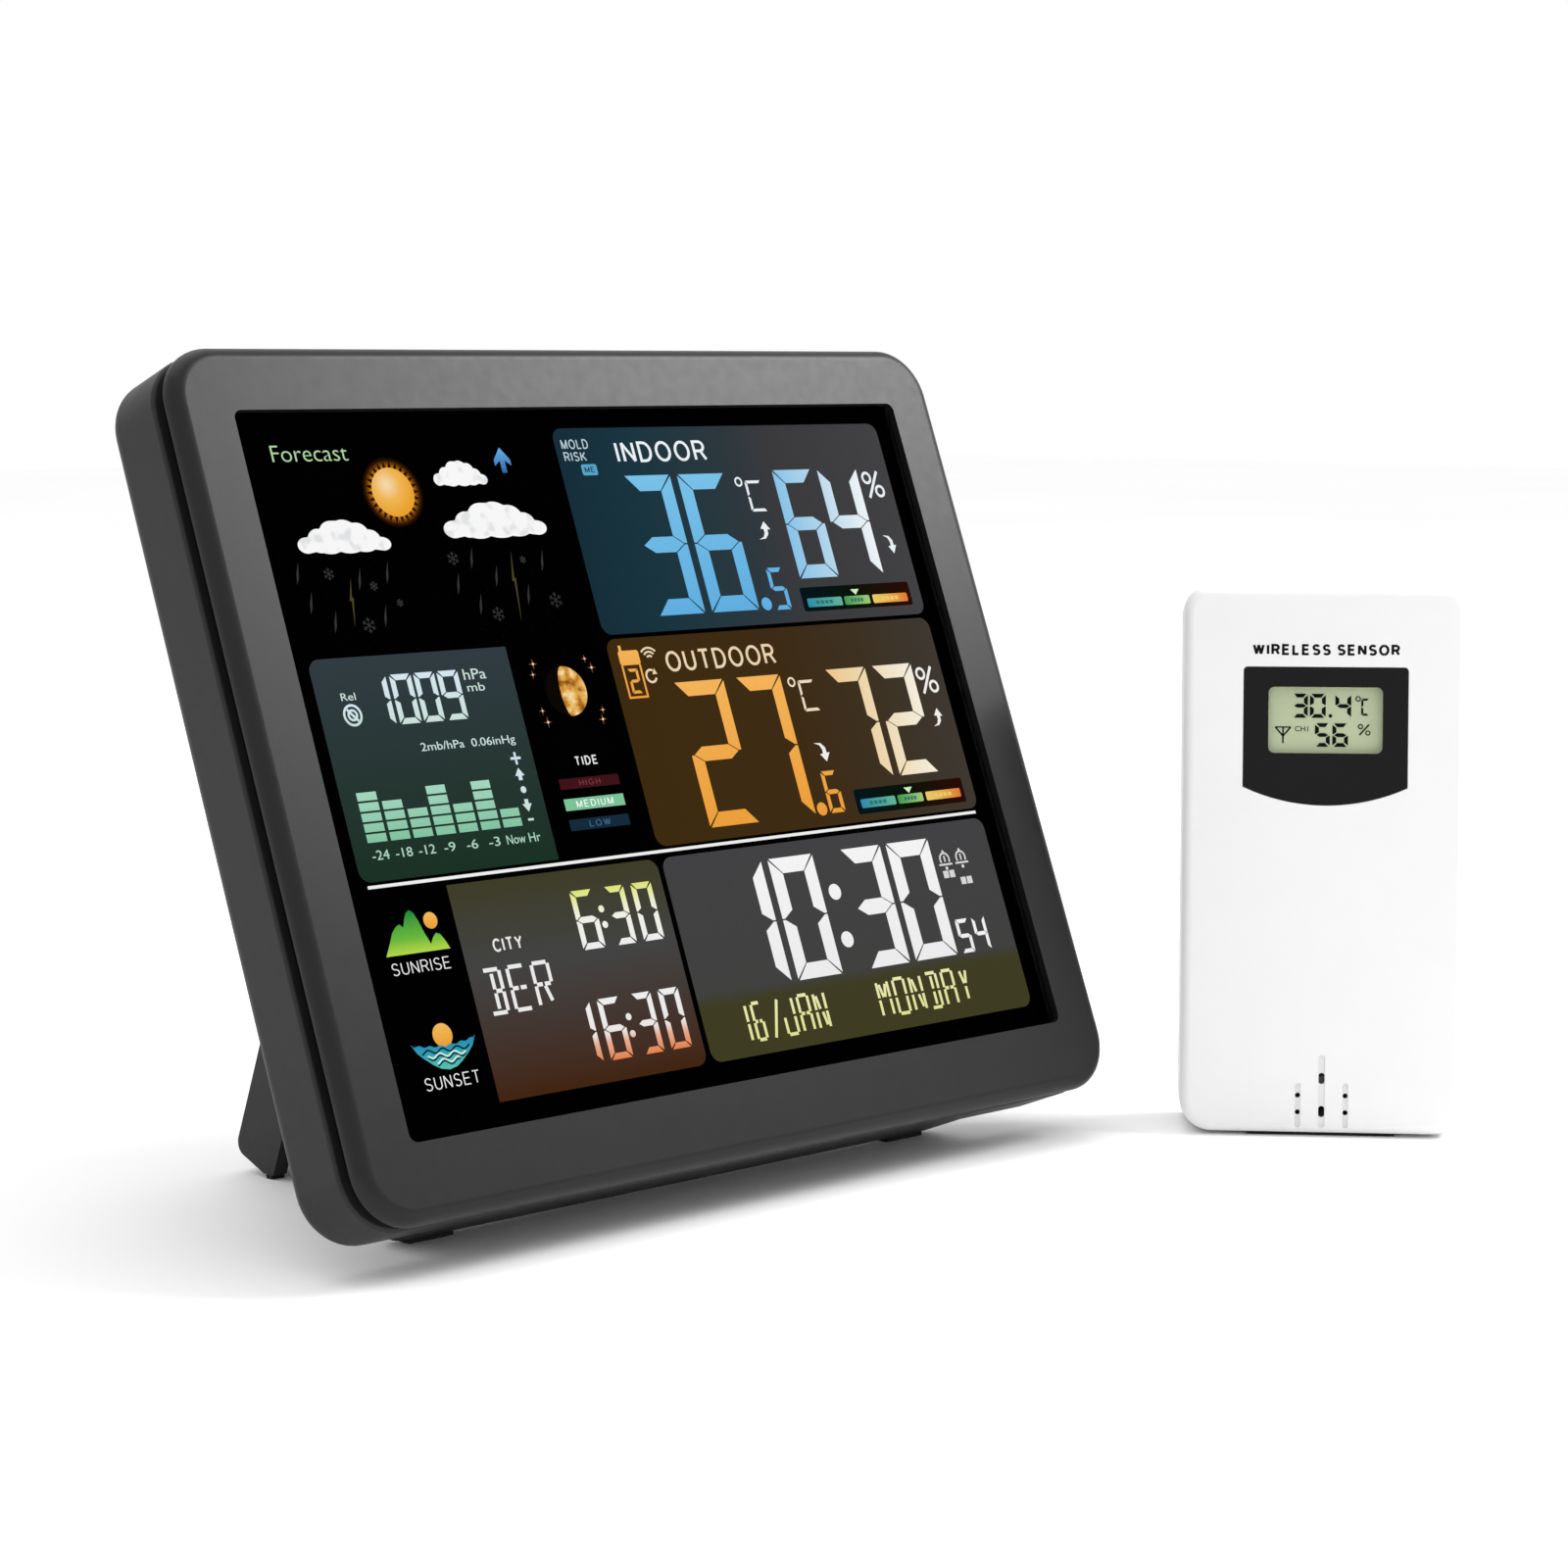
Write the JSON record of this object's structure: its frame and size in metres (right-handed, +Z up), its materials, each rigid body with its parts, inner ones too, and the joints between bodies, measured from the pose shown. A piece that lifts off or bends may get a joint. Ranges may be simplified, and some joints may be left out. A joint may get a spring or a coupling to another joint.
{
  "type": "home weather station",
  "caption": "Tabletop weather display console leaning on a fold-out rear stand, with a small upright wireless outdoor temperature and humidity sensor beside it.",
  "frame": {"origin": "centre of the whole set's footprint, on the surface it stands on", "axes": "-Y is the way the leaning screen faces, +X is to the right seen from the front, +Z up; the sensor stands at +X"},
  "size_m": [0.246, 0.1392, 0.1489],
  "materials": {
    "charcoal_front": "satin moulded, charcoal",
    "charcoal_back": "fine spark texture, charcoal",
    "charcoal_stand": "fine spark texture, charcoal",
    "lens": "clear polished acrylic",
    "lcd": "black display with lit colour segments",
    "film": "white diffusing film",
    "guide": "clear acrylic light guide",
    "led": "yellow phosphor over white",
    "board_white": "white solder mask",
    "elastomer": "striped silicone",
    "black_plastic": "black moulding",
    "board_green": "green solder mask",
    "chip": "black epoxy",
    "shield": "tin-plated can",
    "copper": "enamelled copper wire",
    "switch_body": "black with steel cover",
    "inlet": "black nylon",
    "probe": "white ceramic cap",
    "cell": null,
    "spring": "nickel-plated wire",
    "contact": "nickel-plated sheet",
    "pad": "soft rubber",
    "screw": "black zinc",
    "key": "satin keys",
    "white_front": "white satin moulding",
    "white_back": "white satin moulding",
    "panel_black": "gloss black",
    "lcd_grey": "reflective grey-green display",
    "control_black": "black slider",
    "control_grey": "grey button"
  },
  "bodies": {
    "console": {"front_frame": "charcoal_front", "rear_cover": "charcoal_back", "display_lens": "lens", "lcd_panel": "lcd", "diffuser_film": "film", "light_guide": "guide", "backlight_leds": "led", "backlight_strip": "board_white", "connector_strips": "elastomer", "lcd_carrier": "black_plastic", "main_board": "board_green", "controller_chip": "chip", "radio_module": "shield", "antenna": "copper", "key_board": "board_green", "key_switches": "switch_body", "side_board": "board_green", "power_inlet": "inlet", "room_probe": "probe", "buzzer": "chip", "battery_1": "cell", "battery_2": "cell", "battery_3": "cell", "battery_springs": "spring", "battery_contacts": "contact", "stand_rod": "spring", "feet": "pad", "case_screws": "screw", "carrier_screws": "screw", "board_screws": "screw", "side_screws": "screw"},
    "stand": {"stand": "charcoal_stand", "stand_pads": "pad"},
    "battery_door": {"battery_door": "charcoal_back"},
    "key_set": {"key_set": "key"},
    "key_up": {"key_up": "key"},
    "key_down": {"key_down": "key"},
    "key_channel": {"key_channel": "key"},
    "key_alarm": {"key_alarm": "key"},
    "key_light": {"key_light": "key"},
    "sensor": {"sensor_front": "white_front", "sensor_rear": "white_back", "sensor_panel": "panel_black", "sensor_pane": "lens", "sensor_lcd": "lcd_grey", "sensor_connector_strips": "elastomer", "sensor_board": "board_green", "sensor_chip": "chip", "sensor_antenna": "copper", "sensor_probe": "probe", "sensor_battery_1": "cell", "sensor_battery_2": "cell", "sensor_springs": "spring", "sensor_contacts": "contact", "sensor_screws": "screw", "sensor_foot": "pad"},
    "sensor_door": {"sensor_door": "white_back"},
    "sensor_channel_slider": {"sensor_channel_slider": "control_black"},
    "sensor_button": {"sensor_button": "control_grey"}
  },
  "joints": [
    {"name": "stand_fold", "type": "hinge", "parent": "console", "child": "stand", "pos_m": [-0.03395, 0.03638, 0.08266], "axis": [1, 0, 0], "range_deg": [-42.5, 0]},
    {"name": "battery_door_slide", "type": "slide", "parent": "console", "child": "battery_door", "axis": [0, 0.3616, 0.9323], "range_m": [0, 0.044]},
    {"name": "key_set_press", "type": "slide", "parent": "console", "child": "key_set", "axis": [0, -0.9323, 0.3616], "range_m": [0, 0.0006], "stiffness_N_per_m": 600},
    {"name": "key_up_press", "type": "slide", "parent": "console", "child": "key_up", "axis": [0, -0.9323, 0.3616], "range_m": [0, 0.0006], "stiffness_N_per_m": 600},
    {"name": "key_down_press", "type": "slide", "parent": "console", "child": "key_down", "axis": [0, -0.9323, 0.3616], "range_m": [0, 0.0006], "stiffness_N_per_m": 600},
    {"name": "key_channel_press", "type": "slide", "parent": "console", "child": "key_channel", "axis": [0, -0.9323, 0.3616], "range_m": [0, 0.0006], "stiffness_N_per_m": 600},
    {"name": "key_alarm_press", "type": "slide", "parent": "console", "child": "key_alarm", "axis": [0, -0.9323, 0.3616], "range_m": [0, 0.0006], "stiffness_N_per_m": 600},
    {"name": "key_light_press", "type": "slide", "parent": "console", "child": "key_light", "axis": [0, -0.9323, 0.3616], "range_m": [0, 0.0006], "stiffness_N_per_m": 600},
    {"name": "sensor_place", "type": "slide", "parent": "console", "child": "sensor", "axis": [1, 0, 0], "range_m": [0, 0.2]},
    {"name": "sensor_door_lift", "type": "slide", "parent": "sensor", "child": "sensor_door", "axis": [0.7554, 0.6451, -0.1149], "range_m": [0, 0.03]},
    {"name": "sensor_channel_slide", "type": "slide", "parent": "sensor", "child": "sensor_channel_slider", "axis": [0.6494, -0.7604, 0], "range_m": [0, 0.004]},
    {"name": "sensor_button_press", "type": "slide", "parent": "sensor", "child": "sensor_button", "axis": [-0.7554, -0.6451, 0.1149], "range_m": [0, 0.0005], "stiffness_N_per_m": 600}
  ]
}
